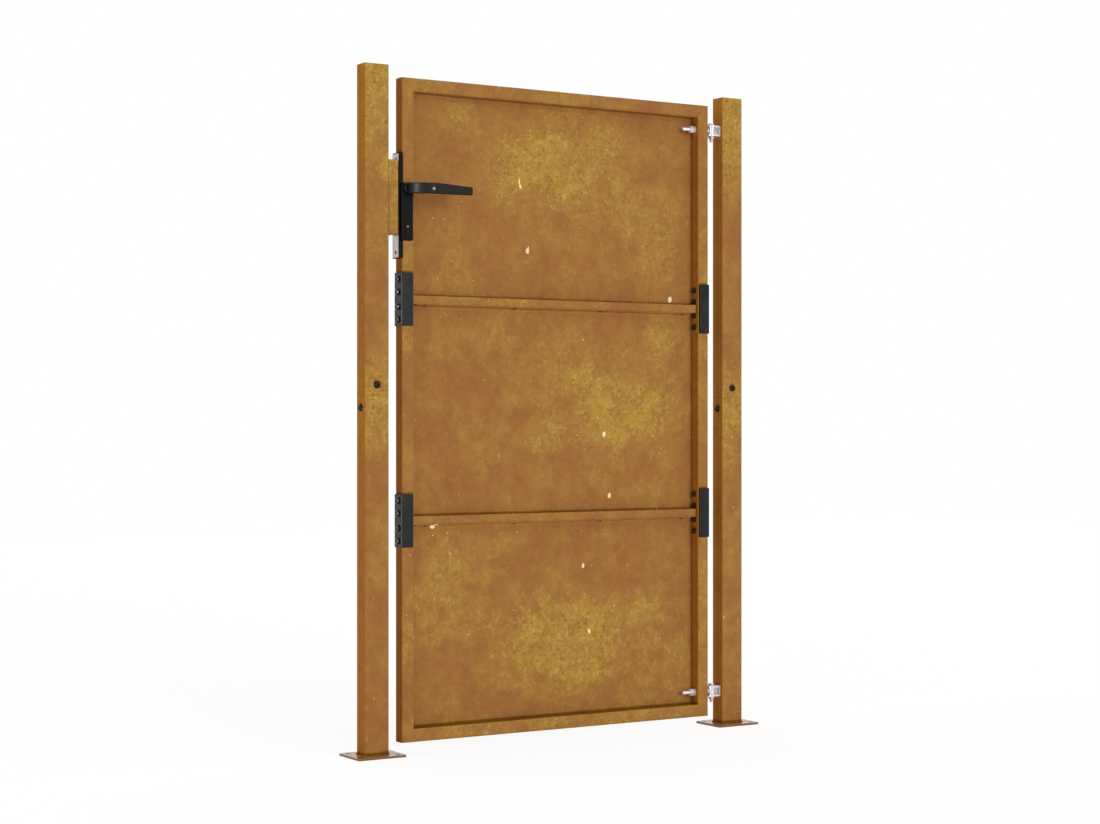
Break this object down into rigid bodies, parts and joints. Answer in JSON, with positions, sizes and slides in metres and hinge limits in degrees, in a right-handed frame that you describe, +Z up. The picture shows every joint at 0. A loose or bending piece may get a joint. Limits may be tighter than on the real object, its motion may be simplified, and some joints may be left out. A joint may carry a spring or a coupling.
{
  "type": "garden gate",
  "caption": "Rust-brown steel garden gate: a sheet-filled tube leaf with bolted sections, on adjustable eye-bolt hinges between two footed posts, with a lever lock and keeper.",
  "frame": {"origin": "on the ground, midway between the two posts and midway through their depth", "axes": "+X from the lock post to the hinge post, -Y towards the viewer of the picture, who sees the open side of the frame, +Z up"},
  "size_m": [1.106, 0.1416, 1.55],
  "materials": {
    "rust_steel": "matt mottled rust of weathering steel",
    "black_steel": "satin black coating",
    "black_handle": "satin black coated aluminium",
    "zinc_steel": "bright zinc plating",
    "lock_steel": "satin plain steel",
    "cylinder_brass": "blackened brass"
  },
  "bodies": {
    "posts": {"left_post_lower": "rust_steel", "left_post_upper": "rust_steel", "right_post_lower": "rust_steel", "right_post_upper": "rust_steel", "post_sleeves": "rust_steel", "post_caps": "rust_steel", "left_base_plate": "rust_steel", "right_base_plate": "rust_steel", "post_joint_screws": "black_steel", "keeper_box": "rust_steel", "upper_hinge_bracket": "zinc_steel", "lower_hinge_bracket": "zinc_steel", "hinge_bracket_screws": "zinc_steel", "upper_hinge_pin": "zinc_steel", "lower_hinge_pin": "zinc_steel", "hinge_pin_nuts": "zinc_steel"},
    "leaf": {"left_stile_top": "rust_steel", "left_stile_middle": "rust_steel", "left_stile_bottom": "rust_steel", "right_stile_top": "rust_steel", "right_stile_middle": "rust_steel", "right_stile_bottom": "rust_steel", "top_rail": "rust_steel", "bottom_rail": "rust_steel", "upper_mid_rail": "rust_steel", "lower_mid_rail": "rust_steel", "top_sheet": "rust_steel", "middle_sheet": "rust_steel", "bottom_sheet": "rust_steel", "upper_left_splice_bracket": "black_steel", "upper_right_splice_bracket": "black_steel", "lower_left_splice_bracket": "black_steel", "lower_right_splice_bracket": "black_steel", "splice_bolts": "black_steel", "splice_nuts": "black_steel", "rail_studs": "black_steel", "rail_nuts": "black_steel", "lock_housing": "black_steel", "faceplate_screws": "black_steel", "front_backplate": "black_handle", "rear_backplate": "black_handle", "backplate_screws": "black_handle", "upper_eye_bolt": "zinc_steel", "lower_eye_bolt": "zinc_steel", "eye_bolt_nuts": "zinc_steel", "eye_lock_nuts": "zinc_steel", "lock_case": "lock_steel", "lock_cover": "lock_steel", "lock_faceplate": "lock_steel", "cylinder_screw": "lock_steel", "latch_spring": "lock_steel", "cylinder_body": "cylinder_brass"},
    "lever_set": {"front_lever": "black_handle", "rear_lever": "black_handle", "spindle": "lock_steel", "follower": "lock_steel"},
    "latch_bolt": {"latch_bolt": "lock_steel"},
    "deadbolt": {"deadbolt": "lock_steel"},
    "cylinder_plug": {"cylinder_plug": "cylinder_brass", "cylinder_cam": "cylinder_brass"}
  },
  "joints": [
    {"name": "gate_swing", "type": "hinge", "parent": "posts", "child": "leaf", "pos_m": [0.443, 0, 0.085], "axis": [0, 0, -1], "range_deg": [0, 100]},
    {"name": "lever_turn", "type": "hinge", "parent": "leaf", "child": "lever_set", "pos_m": [-0.417, 0, 1.274], "axis": [0, 1, 0], "range_deg": [0, 40], "stiffness_Nm_per_rad": 1.2, "springref_deg": -28.65},
    {"name": "latch_slide", "type": "slide", "parent": "leaf", "child": "latch_bolt", "axis": [1, 0, 0], "range_m": [0, 0.0113], "deforming": ["latch_spring"]},
    {"name": "key_turn", "type": "hinge", "parent": "leaf", "child": "cylinder_plug", "pos_m": [-0.417, 0, 1.189], "axis": [0, -1, 0], "range_deg": [0, 360]},
    {"name": "deadbolt_slide", "type": "slide", "parent": "leaf", "child": "deadbolt", "axis": [-1, 0, 0], "range_m": [0, 0.018]}
  ],
  "couplings": [
    {"joint": "latch_slide", "follows": "lever_turn", "m_per_rad": 0.016166},
    {"joint": "key_turn", "follows": "deadbolt_slide", "rad_per_m": 349.05}
  ]
}
